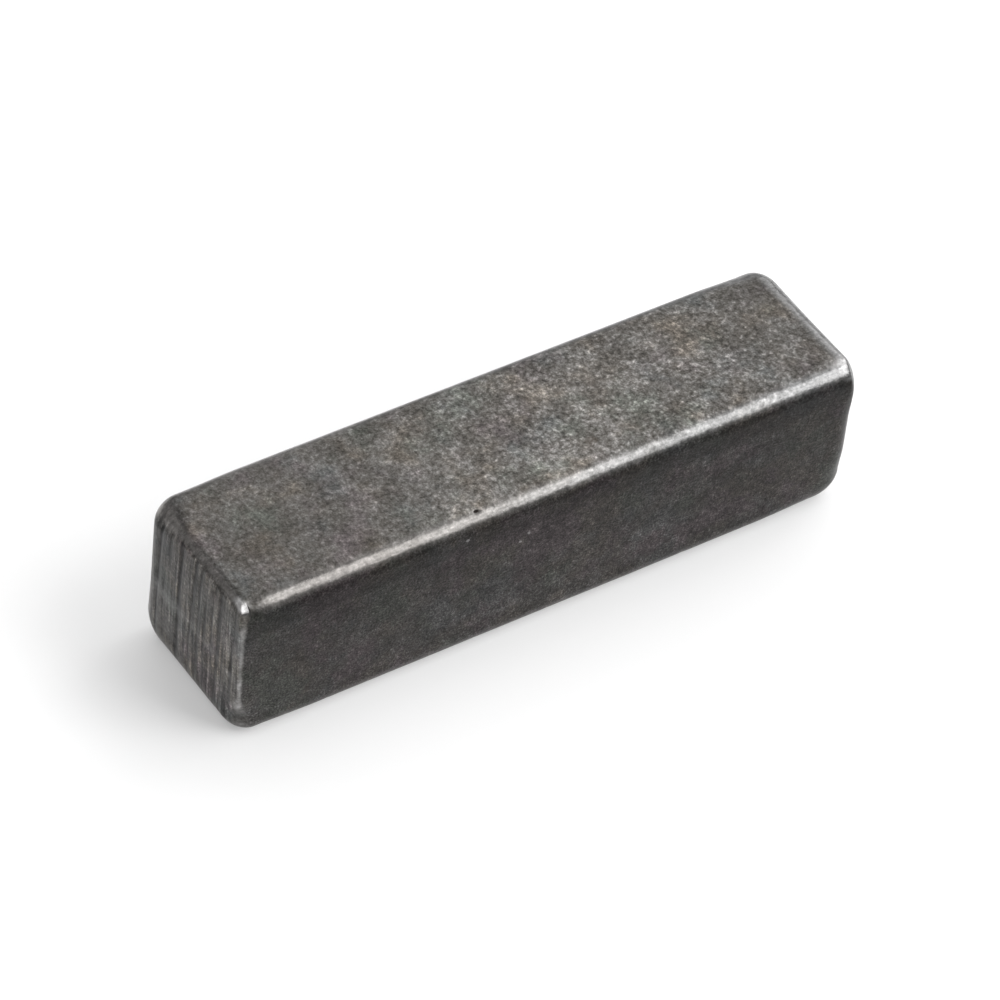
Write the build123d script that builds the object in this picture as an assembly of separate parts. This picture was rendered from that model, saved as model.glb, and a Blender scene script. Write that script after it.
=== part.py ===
from build123d import *
import os

# A square-ended parallel key, cropped from drawn square steel and rounded off in the barrel.
#
# X runs along the key, Y across its two driving flanks and Z up through its height. The origin
# is the middle of the bottom face, which beds in the shaft's keyseat. Lengths are millimetres.

# Driving dimensions
WIDTH = 5.0  # over the driving flanks, along Y
HEIGHT = 5.0  # from the seat face to the hub face, along Z
LENGTH = 20.0  # over the crowns of the two cropped ends, along X
LONG_EDGE_RADIUS = 0.6  # the four corners of the drawn bar's section
END_EDGE_RADIUS = 0.5  # the edge round each cropped end, worn off in the barrel
CROWN_RISE = 0.08  # how far the middle of an end stands above the middle of its sides

# The crown of a cropped end is the cap of a large sphere, as high as CROWN_RISE at half the width
CROWN_RADIUS = (CROWN_RISE**2 + (WIDTH / 2) ** 2) / (2 * CROWN_RISE)


def drawn_bar():
    """The square bar as drawn: its round-cornered section, run along X."""
    section = Plane.YZ * RectangleRounded(WIDTH, HEIGHT, LONG_EDGE_RADIUS)
    return extrude(section, amount=LENGTH / 2, both=True)


def crop_end(bar, side):
    """Crops the bar's end on that side of X to its shallow crown."""
    crown_centre = side * (LENGTH / 2 - CROWN_RADIUS)
    return bar & Pos(crown_centre, 0, 0) * Sphere(CROWN_RADIUS)


def round_end(bar, side):
    """Rounds the closed edge of the cropped end on that side of X."""
    ends = bar.faces().sort_by(Axis.X)
    cropped = ends[-1] if side > 0 else ends[0]
    return fillet(cropped.edges(), END_EDGE_RADIUS)


def make_key():
    """The finished key, standing on its seat face."""
    bar = drawn_bar()
    for side in (-1, 1):
        bar = crop_end(bar, side)
    for side in (-1, 1):
        bar = round_end(bar, side)
    return Pos(0, 0, HEIGHT / 2) * bar


os.makedirs("parts", exist_ok=True)
export_step(make_key(), "parts/key.step")
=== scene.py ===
import math

import bpy
import numpy as np
from mathutils import Matrix, Vector


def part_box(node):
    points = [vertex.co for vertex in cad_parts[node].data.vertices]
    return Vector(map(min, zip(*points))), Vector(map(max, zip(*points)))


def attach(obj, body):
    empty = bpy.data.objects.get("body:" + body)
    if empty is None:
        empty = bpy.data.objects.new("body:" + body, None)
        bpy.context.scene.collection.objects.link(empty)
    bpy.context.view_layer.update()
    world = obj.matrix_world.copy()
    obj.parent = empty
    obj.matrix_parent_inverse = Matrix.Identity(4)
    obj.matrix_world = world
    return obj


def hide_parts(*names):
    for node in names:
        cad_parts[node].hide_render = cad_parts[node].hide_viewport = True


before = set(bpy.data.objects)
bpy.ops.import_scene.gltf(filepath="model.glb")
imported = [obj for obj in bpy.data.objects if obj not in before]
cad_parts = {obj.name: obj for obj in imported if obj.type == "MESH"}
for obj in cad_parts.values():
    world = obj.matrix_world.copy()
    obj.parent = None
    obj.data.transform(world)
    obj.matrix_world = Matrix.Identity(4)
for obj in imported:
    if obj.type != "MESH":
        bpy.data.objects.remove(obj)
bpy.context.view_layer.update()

KEY_LOW, KEY_HIGH = (np.array(corner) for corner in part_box("key"))
MIDDLE = (KEY_LOW + KEY_HIGH) / 2
MM = 0.001
HALF_MM = (KEY_HIGH - KEY_LOW) / 2 / MM

# ---------------------------------------------------------------------------------------------
# The worn form, in millimetres from the key's middle. The near end is the one at -X, the near
# flank is the one at -Y, and the hub face is the top. A side is -1 or 1 along X, Y and Z.
# ---------------------------------------------------------------------------------------------

# Mesh density: cells along each axis's flat stretch, and from a face to the middle of an edge
FLAT_CELLS = (200, 96, 52)
ROUND_CELLS = 8

# The barrel wears each corner its own way: its rounding along X, Y and Z
CORNER_RADII = {
    (-1, -1, -1): (0.66, 0.82, 0.62),
    (-1, -1, 1): (0.32, 0.16, 0.32),
    (-1, 1, -1): (0.34, 0.80, 0.84),
    (-1, 1, 1): (0.80, 0.64, 0.76),
    (1, -1, -1): (0.96, 0.64, 0.78),
    (1, -1, 1): (0.42, 0.68, 1.10),
    (1, 1, -1): (0.70, 0.70, 0.70),
    (1, 1, 1): (0.64, 0.84, 0.60),
}

# Where a long edge meets a corner with another rounding than the corner's own
LONG_EDGE_RADII = {
    (-1, -1, 1): (0.32, 0.50, 0.60),
    (1, -1, 1): (0.42, 0.62, 0.62),
}

# The grid mark along X at which the corner's own rounding has taken over from the long edge's
CORNER_MARK = 1.7

# An edge's rounding between its corners, and how far from them it is reached. A 0 marks the axis
# that the edge runs along. An edge that isn't listed goes evenly from one corner's rounding to
# the other's.
DRAWN_RADIUS = 0.60
DRAWN_EDGE = ((DRAWN_RADIUS, DRAWN_RADIUS, DRAWN_RADIUS), 2.0)
EDGE_MIDDLES = {
    (0, -1, -1): DRAWN_EDGE,
    (0, -1, 1): DRAWN_EDGE,
    (0, 1, -1): DRAWN_EDGE,
    (0, 1, 1): DRAWN_EDGE,
    (-1, 0, 1): ((0.36, 0.60, 0.26), 1.3),  # left rather sharp by the cutter
    (-1, -1, 0): ((0.19, 0.14, 0.60), 1.1),  # left the sharpest
    (1, -1, 0): ((0.63, 0.62, 0.60), 1.3),
}

# One corner of the hub face is knocked to a small flat: the way it faces, and how deep it is cut
FLAT_FACING = (-0.45, -0.27, 0.85)
FLAT_DEPTH = 0.05

CROWN_RISE = 0.06  # how far an end's middle stands above its rim

# The cutter's grooves down the near end: place across it, lowest and highest point, width, depth
SHEAR_GROOVES = (
    (1.70, -2.5, 2.3, 0.09, 0.030),
    (1.20, 1.2, 2.5, 0.08, 0.016),
    (0.58, -2.5, 2.5, 0.10, 0.026),
    (-0.02, -2.5, 2.5, 0.08, 0.024),
    (-0.39, -2.5, 2.5, 0.08, 0.022),
    (-0.69, -2.5, 1.2, 0.07, 0.018),
    (-1.04, -1.2, 2.5, 0.07, 0.016),
    (-1.35, -2.5, 2.3, 0.08, 0.018),
    (-1.64, -2.5, 0.6, 0.06, 0.014),
    (-2.04, -2.5, 2.0, 0.07, 0.016),
)
DEEPEST_GROOVE = 0.030
GROOVE_LEAN = 0.046  # how far a groove moves towards +Y for each millimetre down
GROOVE_FADE = 0.4  # how far on either side of its lowest and highest point a groove fades out
GROOVE_STRAY = 0.02  # how far a groove wanders off its straight line

# A nick where the hub face meets the near flank
NICK_PLACE = (-2.55, -2.14, 2.42)
NICK_SIZE = (0.10, 0.05, 0.05)
NICK_DEPTH = 0.03

# Random patterns: size of their bumps along X, Y and Z, and seed
WAVES = ((2.6, 1.6, 1.6), 1)
RIPPLE = ((0.7, 0.5, 0.5), 2)
KNOCKS = ((0.32, 0.22, 0.22), 3)
DRAW_LINES = ((9.0, 0.16, 0.16), 4)
COARSE_CUTS = ((1.0, 0.22, 2.6), 11)
FINE_CUTS = ((1.0, 0.09, 1.1), 12)
GROOVE_WANDER = ((0.3, 1.0, 0.8), 13)
RAGGED = ((0.30, 0.20, 0.20), 21)
PATCHY = ((1.6, 1.1, 1.1), 22)
TORN = ((1.0, 1.0, 0.28), 23)
RANDOM_CELLS = 64  # a pattern repeats after this many bumps
RANDOM_START = 300.0  # added to a place in bumps, which makes it positive all over the key

# The mean depth of the waves, the ripple and the lines of drawing, and the greatest of the others
WAVE_DEPTH = 0.003
RIPPLE_DEPTH = 0.001
DRAW_LINE_DEPTH = 0.0022
EDGE_RIPPLE_DEPTH = 0.002
KNOCK_DEPTH = 0.006
COARSE_CUT_DEPTH = 0.012
FINE_CUT_DEPTH = 0.006
EDGE_LIFT = 0.006  # how much less the edges are sunk than the faces


def smooth(value, low, high):
    """A smooth ramp from 0 at low to 1 at high."""
    t = np.clip((value - low) / (high - low), 0.0, 1.0)
    return t * t * (3.0 - 2.0 * t)


def bell(value, middle, width):
    """1 at the middle, fading to 0 over about that width on both sides of it."""
    return np.exp(-(((value - middle) / width) ** 2))


def spot(places, middle, size):
    """1 at the middle of a soft oval spot, fading to 0 round it."""
    offset = (places - np.array(middle)) / np.array(size)
    return np.exp(-np.sum(offset**2, axis=1))


def unevenness(places, size, seed):
    """Smooth random heights from -1 to 1, in bumps about as far across as size says."""
    counts = (RANDOM_CELLS, RANDOM_CELLS, RANDOM_CELLS)
    table = np.random.default_rng(seed).uniform(-1.0, 1.0, counts)
    in_cells = places / np.array(size) + RANDOM_START
    cell = np.floor(in_cells).astype(int)
    t = in_cells - cell
    t = t * t * (3.0 - 2.0 * t)
    total = np.zeros(len(places))
    for step in np.ndindex(2, 2, 2):
        weight = np.prod(np.where(np.array(step) == 1, t, 1.0 - t), axis=1)
        x, y, z = ((cell + step) % RANDOM_CELLS).T
        total += weight * table[x, y, z]
    return total


def grid_axis(axis):
    """Grid marks along one axis: -1 to 1 spans the flat, and 1 to 2 the rounding to a face."""
    flat = np.linspace(-1.0, 1.0, FLAT_CELLS[axis] + 1)
    rounding = 1.0 + np.arange(1, ROUND_CELLS + 1) / ROUND_CELLS
    return np.concatenate((-rounding[::-1], flat, rounding))


def box_grid():
    """Grid marks of every vertex on a box's six faces, and the quads that join them."""
    marks = [grid_axis(axis) for axis in range(3)]
    counts = [len(m) for m in marks]
    index = {}
    vertices = []
    quads = []

    def vertex(place):
        if place not in index:
            index[place] = len(vertices)
            vertices.append([marks[axis][place[axis]] for axis in range(3)])
        return index[place]

    for axis in range(3):
        across, along = (axis + 1) % 3, (axis + 2) % 3
        for side in (0, counts[axis] - 1):
            for i in range(counts[across] - 1):
                for j in range(counts[along] - 1):
                    ring = []
                    for step_i, step_j in ((0, 0), (1, 0), (1, 1), (0, 1)):
                        place = [0, 0, 0]
                        place[axis] = side
                        place[across] = i + step_i
                        place[along] = j + step_j
                        ring.append(vertex(tuple(place)))
                    quads.append(ring if side else ring[::-1])
    return np.array(vertices), quads


def corner_radius(axis, sides, run):
    """Each vertex's rounding along axis where its edge, which runs along run, meets a corner."""
    radius = np.empty(len(sides))
    table = CORNER_RADII | LONG_EDGE_RADII if run == 0 else CORNER_RADII
    for corner, radii in table.items():
        radius[np.all(sides == corner, axis=1)] = radii[axis]
    return radius


def edge_radius(axis, sides, marks, run):
    """Each vertex's rounding along axis, on the edge that runs along axis run on those sides."""
    low_sides, high_sides = sides.copy(), sides.copy()
    low_sides[:, run] = -1
    high_sides[:, run] = 1
    at_low = corner_radius(axis, low_sides, run)
    at_high = corner_radius(axis, high_sides, run)
    along = np.clip((marks[:, run] + 1.0) / 2.0, 0.0, 1.0)
    radius = at_low + (at_high - at_low) * along
    length = 2.0 * (HALF_MM[run] - DRAWN_RADIUS)
    others = [other for other in range(3) if other != run]
    for edge, (middle, blend) in EDGE_MIDDLES.items():
        if edge[run] == 0:
            on_edge = np.all(sides[:, others] == [edge[other] for other in others], axis=1)
            near_low = 1.0 - smooth(along * length, 0.0, blend)
            near_high = 1.0 - smooth((1.0 - along) * length, 0.0, blend)
            held = middle[axis] + (at_low - middle[axis]) * near_low
            held += (at_high - middle[axis]) * near_high
            radius = np.where(on_edge, held, radius)
    return radius


def rounding_radius(axis, side, marks):
    """How far the rounding reaches along axis, towards side, at each vertex."""
    sides = np.where(marks < 0.0, -1, 1)
    sides[:, axis] = side
    radius = np.zeros(len(marks))
    first, second = [other for other in range(3) if other != axis]
    off_long_edge = smooth(np.abs(marks[:, 0]), 1.0, CORNER_MARK)
    for edge_side, run in ((first, second), (second, first)):
        on_edge = np.abs(marks[:, edge_side]) > 1.0
        on_corner = on_edge & (np.abs(marks[:, run]) > 1.0)
        given = edge_radius(axis, sides, marks, run)
        if run == 0:
            given = np.where(on_corner, given + (radius - given) * off_long_edge, given)
        radius = np.where(on_edge, given, radius)
    return radius


def rounded_box(marks):
    """Vertex places from the key's middle, and the direction that each vertex faces."""
    past_flat = np.abs(marks) > 1.0
    reach = np.where(past_flat, np.tan((np.abs(marks) - 1.0) * math.pi / 4), 0.0)
    facing = reach / np.linalg.norm(reach, axis=1, keepdims=True)
    places = np.empty_like(marks)
    for axis in range(3):
        low = -HALF_MM[axis] + rounding_radius(axis, -1, marks)
        high = HALF_MM[axis] - rounding_radius(axis, 1, marks)
        flat = low + (high - low) * (np.clip(marks[:, axis], -1.0, 1.0) + 1.0) / 2.0
        below = low - (HALF_MM[axis] + low) * facing[:, axis]
        above = high + (HALF_MM[axis] - high) * facing[:, axis]
        rounded = [marks[:, axis] < -1.0, marks[:, axis] > 1.0]
        places[:, axis] = np.select(rounded, [below, above], flat)
    return places, facing * np.sign(marks)


def crown_ends(places):
    """Draws the rim of each end in along X, so that the end stands highest at its middle."""
    across, up = (places[:, 1] / HALF_MM[1]) ** 2, (places[:, 2] / HALF_MM[2]) ** 2
    places[:, 0] *= 1.0 - CROWN_RISE * (across + up - across * up) / HALF_MM[0]


def knock_corner(places):
    """Cuts the corner that reaches furthest the way FLAT_FACING points to a small flat."""
    facing = np.array(FLAT_FACING) / np.linalg.norm(FLAT_FACING)
    reach = places @ facing
    places -= np.outer(np.maximum(reach - reach.max() + FLAT_DEPTH, 0.0), facing)


def shear_depth(places):
    """How deep the cutter's marks lie at each vertex of an end."""
    up = places[:, 2]
    across = places[:, 1] + GROOVE_LEAN * up
    whole_end = np.sign(places[:, 0]) * 9.0  # one X for all of an end, whatever its crown
    unleaned = np.column_stack((whole_end, across, up))
    depth = COARSE_CUT_DEPTH * np.clip(unevenness(unleaned, *COARSE_CUTS), 0.0, 1.0)
    depth += FINE_CUT_DEPTH * np.clip(unevenness(unleaned, *FINE_CUTS), 0.0, 1.0)
    near_end = places[:, 0] < 0.0
    for middle, lowest, highest, width, deepest in SHEAR_GROOVES:
        down_groove = np.column_stack((np.full_like(up, middle), np.zeros_like(up), up))
        wander = GROOVE_STRAY * unevenness(down_groove, *GROOVE_WANDER)
        reach = smooth(up, lowest - GROOVE_FADE, lowest + GROOVE_FADE)
        reach *= 1.0 - smooth(up, highest - GROOVE_FADE, highest + GROOVE_FADE)
        groove = deepest * bell(across - middle, wander, width) * reach
        depth += np.where(near_end, groove, 0.0)
    return depth


def wear_down(places, facing):
    """Sinks the surface a little, unevenly, as drawing, cropping and the barrel leave it."""
    on_end = smooth(np.abs(facing[:, 0]), 0.80, 0.98)
    on_edge = 1.0 - smooth(np.max(np.abs(facing), axis=1), 0.86, 0.98)
    waves = unevenness(places, *WAVES)
    ripple = unevenness(places, *RIPPLE)
    draw_lines = unevenness(places, *DRAW_LINES)
    knocks = smooth(unevenness(places, *KNOCKS), 0.35, 0.85)
    depth = WAVE_DEPTH * (1.0 + waves) + RIPPLE_DEPTH * (1.0 + ripple)
    depth += on_edge * (EDGE_RIPPLE_DEPTH * ripple - EDGE_LIFT + KNOCK_DEPTH * knocks)
    depth += (1.0 - on_end) * (1.0 - on_edge) * DRAW_LINE_DEPTH * (1.0 + draw_lines)
    depth += on_end * shear_depth(places)
    depth += NICK_DEPTH * spot(places, NICK_PLACE, NICK_SIZE)
    places -= facing * depth[:, None]


# ---------------------------------------------------------------------------------------------
# What the material reads at each vertex
# ---------------------------------------------------------------------------------------------

# Bright metal on the knocked flat: middle and size of each spot, and how far it lies bare
FLAT_SPOTS = (
    ((-9.84, -2.30, 2.45), (0.12, 0.14, 0.09), 1.8),
    ((-9.81, -2.12, 2.44), (0.08, 0.20, 0.06), 1.6),
)

# A painted highlight on the hub face's corner at the far end, laid on as bare metal
FAR_CORNER_HIGHLIGHT_PLACE = (9.45, -2.05, 2.45)
FAR_CORNER_HIGHLIGHT_SIZE = (0.40, 0.20, 0.20)


class Surface:
    """Each vertex's place, the way it faces, and how far it belongs to each kind of surface."""

    def __init__(self, places, facing):
        self.places = places
        self.facing = facing
        self.x, self.y, self.z = places.T
        self.front, self.up = -facing[:, 1], facing[:, 2]
        self.top = smooth(np.abs(self.up), 0.70, 0.95)
        self.flank = smooth(np.abs(self.front), 0.80, 0.97)
        self.shear = smooth(np.abs(facing[:, 0]), 0.75, 0.95)
        self.grime = (1.0 - smooth(self.x, -9.45, -8.90)) * smooth(self.front, 0.2, 0.5)
        self.patchy = unevenness(places, *PATCHY)
        self.ragged = unevenness(places, *RAGGED)


def edge_wear_and_sheen(s):
    """How far each vertex is rubbed along the edges, and more broadly towards both ends: partly
    wear and partly a painted highlight.
    """
    narrow_side = 1.0 - smooth(s.up, 0.55, 0.80)
    squareness = np.max(np.abs(s.facing), axis=1) + 0.04 * narrow_side
    broad = np.maximum(1.0 - smooth(s.x, -4.0, -2.0), smooth(s.x, 3.0, 8.0))
    broad *= smooth(np.abs(s.up), 0.6, 0.75) * (1.0 - smooth(np.abs(s.facing[:, 0]), 0.0, 0.3))
    fillet = 1.0 - smooth(squareness, 0.80 + 0.08 * broad, 0.99 + 0.01 * broad)
    far_rim = smooth(s.x, 9.2, 9.5) * smooth(s.up, 0.2, 0.5)
    wear_and_sheen = np.maximum(fillet, far_rim) * (0.85 + 0.15 * s.patchy + 0.08 * s.ragged)

    # Less so under the grime at the near end, and on the far end's upright edge
    far_upright = smooth(s.x, 9.0, 9.6) * smooth(s.front, 0.2, 0.5) * (1.0 - smooth(s.up, 0.1, 0.4))
    wear_and_sheen *= 1.0 - 0.9 * s.grime
    wear_and_sheen *= 1.0 - 0.7 * far_upright
    return np.clip(wear_and_sheen, 0.0, 1.0)


def steel_tone_and_shade(s):
    """How light the steel is at each vertex, 1 being its full colour: its own patchy tone and
    grime, with painted shade and painted light over the faces and in the grooves.
    """
    # Height on the near flank, and the same line turned over on the far one
    high = -s.z * np.sign(s.y)
    grooves = np.clip(shear_depth(s.places) / DEEPEST_GROOVE, 0.0, 1.0)
    tone_and_shade = 0.74 + 0.22 * bell(s.x, 1.5, 5.5) * s.top + 0.05 * s.patchy
    darker_by = (
        # The hub face: along its far side, towards its far end and at its near rim
        0.13 * smooth(s.y, 0.8, 1.9) * s.top,
        0.10 * smooth(s.x, 8.0, 9.2) * s.top,
        0.38 * smooth(-s.x, 9.55, 9.70) * smooth(s.up, 0.8, 0.95),
        # The grime at the hub face's near corner
        0.55 * s.grime * smooth(s.up, 0.3, 0.5),
        # Painted shade on the flanks: less and less downwards, more above a drawn line, and more to
        # the far end
        s.flank * (0.40 - 0.22 * smooth(-high, -1.0, 1.4) + 0.22 * smooth(high, 1.28, 1.52)),
        s.flank * 0.24 * smooth(s.x, 1.0, 9.0),
        # Painted shade on the far end's upright edge
        0.40 * smooth(s.facing[:, 0], 0.15, 0.6) * smooth(s.front, 0.2, 0.6),
        # Painted shade on the ends: less and less downwards, as painted light against the shade
        # there, and along the top, more on the far flank's side and at mid-height there, and most
        # in the grooves, where it stands for their shade
        s.shear * (0.20 - 0.84 * smooth(-s.z, -2.0, 2.0) - 0.15 * smooth(s.z, 1.9, 2.2)),
        s.shear * (0.32 - 0.12 * smooth(-s.z, 0.4, 1.6)) * smooth(s.y, -0.2, 1.3),
        s.shear * 0.50 * bell(s.z, 0.1, 0.60) * smooth(s.y, -0.3, 0.9),
        s.shear * 0.88 * grooves,
    )
    for share in darker_by:
        tone_and_shade *= 1.0 - share
    return tone_and_shade


def bare_metal_and_sheen(s):
    """How far bright metal lies bare at each vertex, with painted light and painted highlights laid
    on as bare metal in places.
    """
    # A torn burr down the near end's upright edge, brightest a little below its middle, and lighter
    # towards its foot as painted light against the shade there
    torn = smooth(unevenness(s.places, *TORN), -1.0, 0.3)
    burr = 0.21 + 0.06 * (1.0 - smooth(s.z, -1.6, 0.4)) + 0.50 * bell(s.z, -0.2, 0.20)
    burr *= torn * (1.0 - 0.8 * smooth(s.z, 1.7, 2.0)) * smooth(s.z, -2.4, -1.9)
    past_ridge = -s.facing[:, 0] - s.front
    ridge = bell(past_ridge, 0.0, np.where(past_ridge > 0.0, 0.75, 0.40))
    upright = smooth(-s.facing[:, 0], 0.1, 0.4) * (1.0 - smooth(np.abs(s.up), 0.2, 0.6))
    bare_and_sheen = burr * ridge * upright

    # The knocked flat at the top of that edge
    for middle, size, amount in FLAT_SPOTS:
        bare_and_sheen += amount * spot(s.places, middle, size)

    # The hub face's rim at the far end, bare partly from wear and partly as a painted highlight,
    # and a painted highlight at its near corner, where the edge's highlight widens onto the hub
    # face
    far_end = 0.14 * smooth(s.x, 9.38, 9.52) * smooth(s.up, 0.6, 0.9)
    far_end += 0.20 * spot(s.places, FAR_CORNER_HIGHLIGHT_PLACE, FAR_CORNER_HIGHLIGHT_SIZE)
    bare_and_sheen += far_end * (1.0 + 0.5 * s.ragged)
    return np.clip(bare_and_sheen, 0.0, 1.0)


def surface_marks(places, facing):
    """The numbers that each vertex carries for the material, by name."""
    s = Surface(places, facing)
    # A painted sheen: the rubbed edges' colour is lightened up to twice along the near end's top
    # rim
    near_rim = smooth(-facing[:, 0], 0.35, 0.6) * smooth(s.up, 0.15, 0.4)
    coarseness = 0.80 + 0.40 * smooth(s.x, -8.0, 1.0) - 0.20 * smooth(s.x, 6.0, 8.5)
    return {
        # Partly wear and partly a painted highlight along the edges
        "wear_and_sheen": edge_wear_and_sheen(s),
        # The painted highlight of the edges turns silvery and lighter towards the far end
        "silver_sheen": smooth(s.x, -6.0, 6.0),
        "shine": 1.0 + near_rim,
        # The steel's own tone, with painted shade and painted light
        "tone_and_shade": steel_tone_and_shade(s),
        # Bare metal, with painted light and painted highlights laid on as bare metal
        "bare_and_sheen": bare_metal_and_sheen(s),
        "grain": (1.0 - 0.38 * s.flank - 0.20 * s.shear) * coarseness,
        "flank": s.flank,
        "shear": s.shear,
    }


def make_key_mesh():
    marks, quads = box_grid()
    places, facing = rounded_box(marks)
    crown_ends(places)
    knock_corner(places)
    surface = surface_marks(places, facing)
    wear_down(places, facing)
    mesh = bpy.data.meshes.new("worn_key")
    mesh.from_pydata((places * MM + MIDDLE).tolist(), [], quads)
    for name, values in surface.items():
        attribute = mesh.attributes.new(name, "FLOAT", "POINT")
        attribute.data.foreach_set("value", values.astype(np.float32))
    mesh.shade_smooth()
    mesh.update()
    return mesh


# ---------------------------------------------------------------------------------------------
# Materials
# ---------------------------------------------------------------------------------------------

# Linear colours of the steel
DARK_STEEL = (0.102, 0.095, 0.086, 1.0)
LIGHT_STEEL = (0.101, 0.097, 0.093, 1.0)
BROWN_STEEL = (0.107, 0.094, 0.080, 1.0)
COOL_STEEL = (0.094, 0.096, 0.094, 1.0)
GREEN_STEEL = (0.094, 0.100, 0.088, 1.0)
PURPLE_STEEL = (0.107, 0.092, 0.094, 1.0)
# The rubbed edges, partly wear and partly a painted highlight that is lighter at the far end
WARM_WORN_SHEEN = (0.122, 0.116, 0.111, 1.0)
COOL_WORN_SHEEN = (0.136, 0.136, 0.136, 1.0)
BARE_STEEL = (0.75, 0.74, 0.74, 1.0)
# Painted shade in the nick's hollow
NICK_SHADE_COLOR = (0.012, 0.010, 0.009, 1.0)
STAIN_COLOR = (0.045, 0.034, 0.025, 1.0)

# Noises: bumps per millimetre along X, Y and Z, detail, roughness, and an offset of its own
NOISES = {
    "mottle": ((1.5, 1.5, 1.5), 5.0, 0.85, 0.0),
    "crystals": ((7.0, 7.0, 7.0), 2.0, 0.60, 3.0),
    "fine": ((18.0, 18.0, 18.0), 1.0, 0.60, 5.0),
    "fleck_zones": ((0.7, 0.7, 0.7), 3.0, 0.60, 9.0),
    "pits": ((8.0, 8.0, 8.0), 0.5, 0.60, 12.0),
    "warmth": ((0.6, 0.6, 0.6), 4.0, 0.60, 20.0),
    "tinge": ((0.5, 0.5, 0.5), 5.0, 0.65, 25.0),
    "streaks": ((0.2, 7.5, 0.45), 3.0, 0.60, 30.0),
    "rubs": ((2.5, 14.0, 14.0), 2.0, 0.60, 40.0),
}

# The numbers that each vertex carries for the material
MARK_NAMES = ("wear_and_sheen", "silver_sheen", "shine", "tone_and_shade", "bare_and_sheen", "grain", "flank", "shear")

# Flecks at two slants: their cells per millimetre along X, Y and Z, and the slants in degrees
FLECKS_PER_MM = (4.5, 9.0, 9.0)
FLECK_TURNS = (35.0, -50.0)

# How strongly each pattern lightens or darkens the steel, as a power of e
CONTRAST = {
    "mottle": 4.1,
    "crystals": 3.0,
    "flecks": 0.68,
    "pits": -0.30,
    "fine": 1.5,
    "fine_more_on_flanks_and_ends": 1.9,
    "streaks": 7.0,
    "rubs": 1.2,
    "speckle_on_worn_sheen": 0.40,
}

# Faint patches of colour: the noise that brings each one out, from where to where in it, how much
# more of it lies on the flanks or the ends, and the colour
PATCHES = (
    ("warmth", 0.48, 0.70, {"shear": 0.20}, BROWN_STEEL),
    ("warmth", 0.48, 0.30, {"flank": 0.30}, COOL_STEEL),
    ("tinge", 0.52, 0.74, {}, GREEN_STEEL),
    ("tinge", 0.50, 0.26, {"flank": 0.22}, PURPLE_STEEL),
)
FLANK_PATCHES = 1.8  # how much stronger the patches are on the flanks
END_PATCHES = 0.8  # the same on the ends

# Small marks: three light specks on the near flank, a brown stain on the hub face and painted shade
# in the nick's hollow. Each has its place, size, strength and colour.
SMALL_MARKS = (
    ((-2.97, -2.5, 1.84), (0.06, 0.1, 0.05), 0.2, BARE_STEEL),
    ((-0.97, -2.5, 1.18), (0.05, 0.1, 0.05), 0.2, BARE_STEEL),
    ((-1.23, -2.5, 0.97), (0.05, 0.1, 0.04), 0.2, BARE_STEEL),
    ((1.6, -1.4, 2.5), (0.20, 0.16, 0.2), 0.45, STAIN_COLOR),
    (NICK_PLACE, (0.09, 0.05, 0.05), 1.0, NICK_SHADE_COLOR),
)

# Gloss: the roughness, and what the mottling and the polish of the edges add to it
ROUGHNESS = 0.28
MOTTLE_ROUGHNESS = 0.24
POLISH_ROUGHNESS = -0.12

# Fine relief: its depth in millimetres, the crystals' and the end streaks' share beside the
# mottling, and what the wear of the edges adds to its strength
BUMP_DEPTH = 0.016
CRYSTAL_BUMP = 0.6
STREAK_BUMP = 1.5
WEAR_BUMP = -0.6


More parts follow.
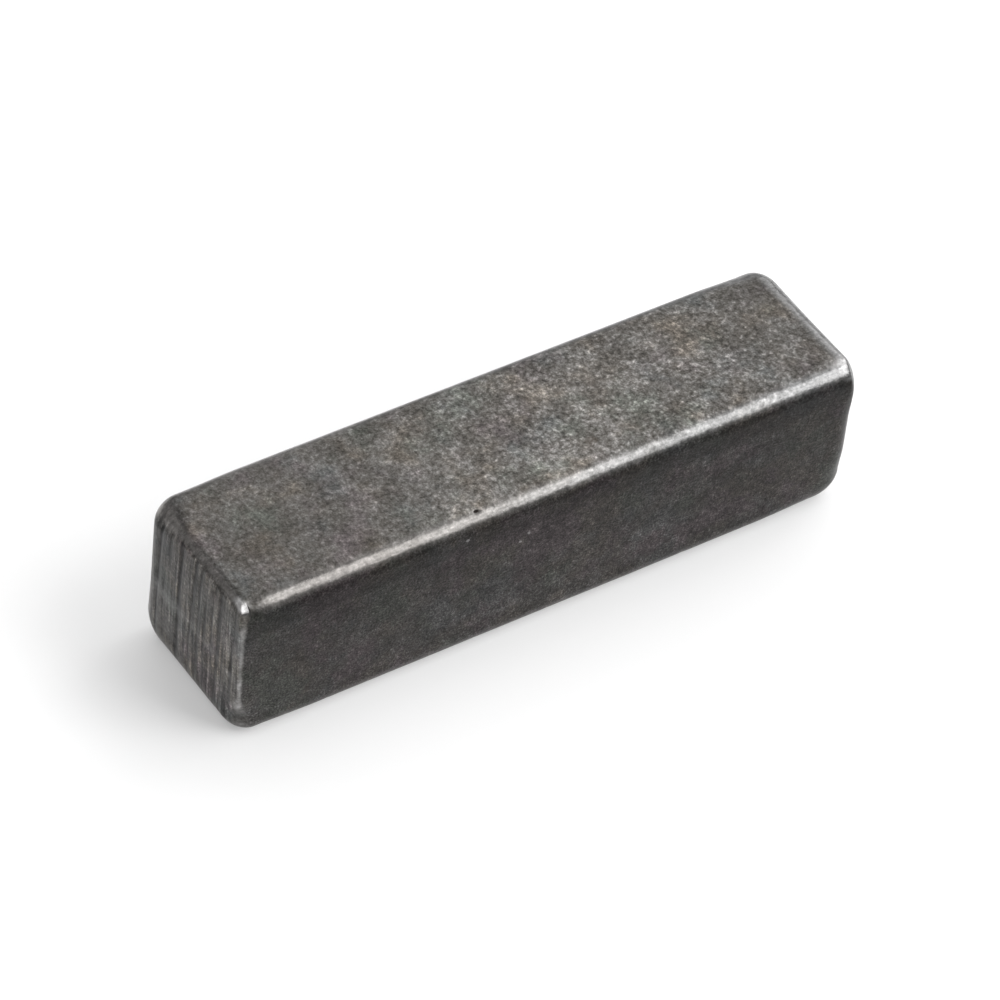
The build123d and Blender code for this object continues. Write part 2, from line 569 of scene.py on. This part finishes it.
class Shading:
    """Adds shader nodes to one material, in short calls that take sockets or plain values."""

    def __init__(self, name):
        self.material = bpy.data.materials.new(name)
        self.material.use_nodes = True
        self.tree = self.material.node_tree
        self.shader = self.tree.nodes["Principled BSDF"]
        self.place = self.tree.nodes.new("ShaderNodeTexCoord").outputs["Object"]

    def feed(self, socket, value):
        """Links another socket to this one, or gives it a plain value."""
        if isinstance(value, bpy.types.NodeSocket):
            self.tree.links.new(value, socket)
        else:
            socket.default_value = value

    def math(self, operation, *values):
        node = self.tree.nodes.new("ShaderNodeMath")
        node.operation = operation
        for socket, value in zip(node.inputs, values):
            self.feed(socket, value)
        return node.outputs["Value"]

    def add(self, total, value, factor):
        """The total and factor times value."""
        return self.math("MULTIPLY_ADD", value, factor, total)

    def about_zero(self, noise):
        """Noise about 0.5, brought down to lie about 0."""
        return self.math("SUBTRACT", noise, 0.5)

    def mark(self, name):
        """One of the mesh's own numbers, such as its wear."""
        node = self.tree.nodes.new("ShaderNodeAttribute")
        node.attribute_name = name
        return node.outputs["Fac"]

    def scaled(self, per_mm, turn=0.0):
        """The object's coordinates, turned about Z, times a count per millimetre of each axis."""
        node = self.tree.nodes.new("ShaderNodeMapping")
        node.vector_type = "TEXTURE"
        node.inputs["Scale"].default_value = [MM / count for count in per_mm]
        node.inputs["Rotation"].default_value = (0.0, 0.0, math.radians(turn))
        self.feed(node.inputs["Vector"], self.place)
        return node.outputs["Vector"]

    def noise(self, per_mm, detail, roughness, offset):
        """Soft noise about 0.5, of that many bumps per millimetre along X, Y and Z."""
        node = self.tree.nodes.new("ShaderNodeTexNoise")
        node.noise_dimensions = "4D"
        self.feed(node.inputs["Vector"], self.scaled(per_mm))
        node.inputs["W"].default_value = offset
        node.inputs["Scale"].default_value = 1.0
        node.inputs["Detail"].default_value = detail
        node.inputs["Roughness"].default_value = roughness
        return node.outputs["Fac"]

    def flecks(self, per_mm, turn):
        """Soft oval flecks in under half of the cells, each as bright as it happens to be."""
        node = self.tree.nodes.new("ShaderNodeTexVoronoi")
        self.feed(node.inputs["Vector"], self.scaled(per_mm, turn))
        node.inputs["Scale"].default_value = 1.0
        chance = self.tree.nodes.new("ShaderNodeSeparateColor")
        self.feed(chance.inputs["Color"], node.outputs["Color"])
        oval = self.ramp(node.outputs["Distance"], 0.55, 0.10)
        return self.math("MULTIPLY", oval, self.ramp(chance.outputs["Red"], 0.55, 1.0))

    def ramp(self, value, low, high, start=0.0, end=1.0):
        """Start where value is low, end where it is high, and smooth in between."""
        node = self.tree.nodes.new("ShaderNodeMapRange")
        node.interpolation_type = "SMOOTHSTEP"
        for socket, given in zip(node.inputs, (value, low, high, start, end)):
            self.feed(socket, given)
        return node.outputs["Result"]

    def blend(self, factor, first, second):
        """First colour where factor is 0, second where it is 1."""
        node = self.tree.nodes.new("ShaderNodeMix")
        node.data_type = "RGBA"
        self.feed(node.inputs["Factor"], factor)
        self.feed(node.inputs["A"], first)
        self.feed(node.inputs["B"], second)
        return node.outputs["Result"]

    def lighten(self, color, factor, power):
        """The colour times the factor and e to that power."""
        node = self.tree.nodes.new("ShaderNodeVectorMath")
        node.operation = "SCALE"
        self.feed(node.inputs["Vector"], color)
        self.feed(node.inputs["Scale"], self.math("MULTIPLY", factor, self.math("EXPONENT", power)))
        return node.outputs["Vector"]

    def near(self, place_mm, size_mm):
        """1 within a small oval spot round a place given from the key's middle, 0 outside it."""
        node = self.tree.nodes.new("ShaderNodeMapping")
        node.vector_type = "TEXTURE"
        node.inputs["Location"].default_value = Vector(place_mm) * MM + Vector(MIDDLE)
        node.inputs["Scale"].default_value = Vector(size_mm) * MM
        self.feed(node.inputs["Vector"], self.place)
        length = self.tree.nodes.new("ShaderNodeVectorMath")
        length.operation = "LENGTH"
        self.feed(length.inputs[0], node.outputs["Vector"])
        return self.ramp(length.outputs["Value"], 0.7, 1.2, 1.0, 0.0)


def speckle(steel, noises, marks):
    """Mottling from a millimetre to a few hundredths, with light flecks and dark pits."""
    flecks = steel.math("ADD", *(steel.flecks(FLECKS_PER_MM, turn) for turn in FLECK_TURNS))
    flecks = steel.math("MULTIPLY", flecks, steel.ramp(noises["fleck_zones"], 0.38, 0.62))
    pits = steel.ramp(noises["pits"], 0.36, 0.22)
    power = steel.math("MULTIPLY", steel.about_zero(noises["mottle"]), CONTRAST["mottle"])
    power = steel.add(power, steel.about_zero(noises["crystals"]), CONTRAST["crystals"])
    power = steel.add(power, flecks, CONTRAST["flecks"])
    power = steel.add(power, pits, CONTRAST["pits"])
    power = steel.math("MULTIPLY", power, marks["grain"])
    off_top = steel.math("MAXIMUM", marks["flank"], marks["shear"])
    fine_contrast = steel.add(CONTRAST["fine"], off_top, CONTRAST["fine_more_on_flanks_and_ends"])
    return steel.add(power, steel.about_zero(noises["fine"]), fine_contrast)


def tinted_steel(steel, noises, marks, power):
    """The steel's colour before it is lightened or darkened: browner in its dark parts."""
    color = steel.blend(steel.ramp(power, -0.5, 0.6), DARK_STEEL, LIGHT_STEEL)
    strength = steel.add(1.0, marks["shear"], END_PATCHES)
    strength = steel.add(strength, marks["flank"], FLANK_PATCHES)
    for noise, low, high, more_on, patch_color in PATCHES:
        amount = steel.math("MULTIPLY", steel.ramp(noises[noise], low, high), strength)
        for mark, more in more_on.items():
            amount = steel.add(amount, marks[mark], more)
        color = steel.blend(amount, color, patch_color)
    return color


def worn_steel_and_sheen(steel, noises, marks, power):
    """The brighter colour of the rubbed edges, partly wear and partly a painted highlight: warm at
    the near end, and silvery and lighter at the far one.
    """
    worn = steel.blend(marks["silver_sheen"], WARM_WORN_SHEEN, COOL_WORN_SHEEN)
    rubs = steel.math("MULTIPLY", steel.about_zero(noises["rubs"]), CONTRAST["rubs"])
    rubs = steel.add(rubs, power, CONTRAST["speckle_on_worn_sheen"])
    return steel.lighten(worn, marks["shine"], rubs)


def key_material():
    steel = Shading("barrel_finished_steel")
    marks = {name: steel.mark(name) for name in MARK_NAMES}
    noises = {name: steel.noise(*settings) for name, settings in NOISES.items()}

    power = speckle(steel, noises, marks)
    color = tinted_steel(steel, noises, marks, power)
    end_streaks = steel.math("MULTIPLY", steel.about_zero(noises["streaks"]), marks["shear"])
    power = steel.add(power, end_streaks, CONTRAST["streaks"])
    # The mesh's tone holds painted shade and painted light as well as the steel's own tone
    color = steel.lighten(color, marks["tone_and_shade"], power)

    # The crystals break up the polish and painted highlight of the edges a little, and the bare
    # metal and its painted highlights a lot
    polish_and_sheen = steel.ramp(noises["crystals"], 0.20, 0.45, 0.75, 1.0)
    polish_and_sheen = steel.math("MULTIPLY", marks["wear_and_sheen"], polish_and_sheen)
    color = steel.blend(polish_and_sheen, color, worn_steel_and_sheen(steel, noises, marks, power))
    broken_up = steel.add(-0.2, noises["crystals"], 2.4)
    color = steel.blend(steel.math("MULTIPLY", marks["bare_and_sheen"], broken_up), color, BARE_STEEL)
    for place, size, strength, mark_color in SMALL_MARKS:
        amount = steel.math("MULTIPLY", steel.near(place, size), strength)
        color = steel.blend(amount, color, mark_color)
    steel.feed(steel.shader.inputs["Base Color"], color)

    roughness = steel.add(ROUGHNESS, noises["mottle"], MOTTLE_ROUGHNESS)
    roughness = steel.add(roughness, polish_and_sheen, POLISH_ROUGHNESS)
    steel.feed(steel.shader.inputs["Roughness"], roughness)
    steel.shader.inputs["Metallic"].default_value = 1.0

    height = steel.add(noises["mottle"], noises["crystals"], CRYSTAL_BUMP)
    on_ends = steel.math("MULTIPLY", noises["streaks"], marks["shear"])
    height = steel.add(height, on_ends, STREAK_BUMP)
    bump = steel.tree.nodes.new("ShaderNodeBump")
    bump.inputs["Distance"].default_value = BUMP_DEPTH * MM
    steel.feed(bump.inputs["Strength"], steel.add(1.0, marks["wear_and_sheen"], WEAR_BUMP))
    steel.feed(bump.inputs["Height"], height)
    steel.feed(steel.shader.inputs["Normal"], bump.outputs["Normal"])
    return steel.material


key_mesh = make_key_mesh()
key = bpy.data.objects.new("worn_key", key_mesh)
bpy.context.collection.objects.link(key)
key_mesh.materials.append(key_material())
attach(key, "root")
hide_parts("key")

# ---------------------------------------------------------------------------------------------
# Stage, light and camera, in metres and degrees. Azimuth 0 is in front of the key, towards -Y.
# ---------------------------------------------------------------------------------------------

FLOOR_HALF = 0.6
FLOOR_COLOR = (0.9, 0.9, 0.9, 1.0)
FLOOR_GLOW = 0.3  # how far the floor is lifted to plain white where it is seen or reflected

# Softboxes round the key: azimuth, elevation, width, height and radiance
SOFTBOX_DISTANCE = 0.6
SOFTBOXES = {
    "back_softbox": (136.0, 41.0, 0.75, 0.60, 1.6),
    "corner_softbox": (86.0, 46.0, 0.42, 0.42, 1.9),
    "edge_softbox": (38.0, 40.0, 0.34, 0.44, 5.6),
    "glint_softbox": (-90.0, 65.0, 0.22, 0.22, 2.2),
}
WORLD_COLOR = (1.0, 1.0, 1.0, 1.0)
WORLD_STRENGTH = 0.38

CAMERA_AZIMUTH = -37.06
CAMERA_ELEVATION = 44.35
CAMERA_ROLL = 6.12
CAMERA_DISTANCE = 0.14939
CAMERA_LENS = 197.7
CAMERA_SENSOR = 36.0
CAMERA_NEAREST, CAMERA_FURTHEST = 0.01, 10.0
AIM_OFFSET = Vector((-0.18, -0.01, -0.12)) * MM


def make_floor():
    z = KEY_LOW[2]
    signs = ((-1, -1), (1, -1), (1, 1), (-1, 1))
    corners = [(FLOOR_HALF * x, FLOOR_HALF * y, z) for x, y in signs]
    mesh = bpy.data.meshes.new("floor")
    mesh.from_pydata(corners, [], [(0, 1, 2, 3)])
    floor = bpy.data.objects.new("floor", mesh)
    bpy.context.collection.objects.link(floor)
    white = Shading("floor_white")
    white.shader.inputs["Base Color"].default_value = FLOOR_COLOR
    white.shader.inputs["Roughness"].default_value = 1.0
    white.shader.inputs["Specular IOR Level"].default_value = 0.0
    rays = white.tree.nodes.new("ShaderNodeLightPath")
    seen = white.math("MAXIMUM", rays.outputs["Is Camera Ray"], rays.outputs["Is Glossy Ray"])
    seen = white.math("MAXIMUM", seen, rays.outputs["Is Transmission Ray"])
    glow = white.tree.nodes.new("ShaderNodeEmission")
    mixed = white.tree.nodes.new("ShaderNodeMixShader")
    white.feed(mixed.inputs["Fac"], white.math("MULTIPLY", seen, FLOOR_GLOW))
    white.feed(mixed.inputs[1], white.shader.outputs["BSDF"])
    white.feed(mixed.inputs[2], glow.outputs["Emission"])
    output = white.tree.nodes["Material Output"]
    white.feed(output.inputs["Surface"], mixed.outputs["Shader"])
    mesh.materials.append(white.material)


def direction(azimuth, elevation):
    """The unit vector from the key towards that azimuth and elevation."""
    a, e = math.radians(azimuth), math.radians(elevation)
    return Vector((math.sin(a) * math.cos(e), -math.cos(a) * math.cos(e), math.sin(e)))


def make_softbox(name, azimuth, elevation, width, height, radiance):
    """A rectangular area light that faces the key and shines with that radiance."""
    data = bpy.data.lights.new(name, "AREA")
    data.shape = "RECTANGLE"
    data.size = width
    data.size_y = height
    data.energy = radiance * math.pi * width * height
    light = bpy.data.objects.new(name, data)
    toward = direction(azimuth, elevation)
    light.location = Vector(MIDDLE) + toward * SOFTBOX_DISTANCE
    light.rotation_mode = "QUATERNION"
    light.rotation_quaternion = toward.to_track_quat("Z", "Y")
    bpy.context.collection.objects.link(light)


def light_world():
    world = bpy.data.worlds.new("studio")
    bpy.context.scene.world = world
    world.use_nodes = True
    background = world.node_tree.nodes["Background"]
    background.inputs["Color"].default_value = WORLD_COLOR
    background.inputs["Strength"].default_value = WORLD_STRENGTH


def make_camera():
    data = bpy.data.cameras.new("camera")
    data.lens = CAMERA_LENS
    data.sensor_width = CAMERA_SENSOR
    data.clip_start = CAMERA_NEAREST
    data.clip_end = CAMERA_FURTHEST
    camera = bpy.data.objects.new("camera", data)
    back = direction(CAMERA_AZIMUTH, CAMERA_ELEVATION)
    right = Vector((0, 0, 1)).cross(back).normalized()
    up = back.cross(right)
    turn = math.radians(CAMERA_ROLL)
    rolled_right = right * math.cos(turn) + up * math.sin(turn)
    rolled_up = up * math.cos(turn) - right * math.sin(turn)
    place = Vector(MIDDLE) + AIM_OFFSET + back * CAMERA_DISTANCE
    camera.matrix_world = Matrix(
        (
            (rolled_right.x, rolled_up.x, back.x, place.x),
            (rolled_right.y, rolled_up.y, back.y, place.y),
            (rolled_right.z, rolled_up.z, back.z, place.z),
            (0, 0, 0, 1),
        )
    )
    bpy.context.collection.objects.link(camera)
    bpy.context.scene.camera = camera


make_floor()
for softbox_name, settings in SOFTBOXES.items():
    make_softbox(softbox_name, *settings)
light_world()
make_camera()
bpy.context.scene.view_settings.view_transform = "Standard"
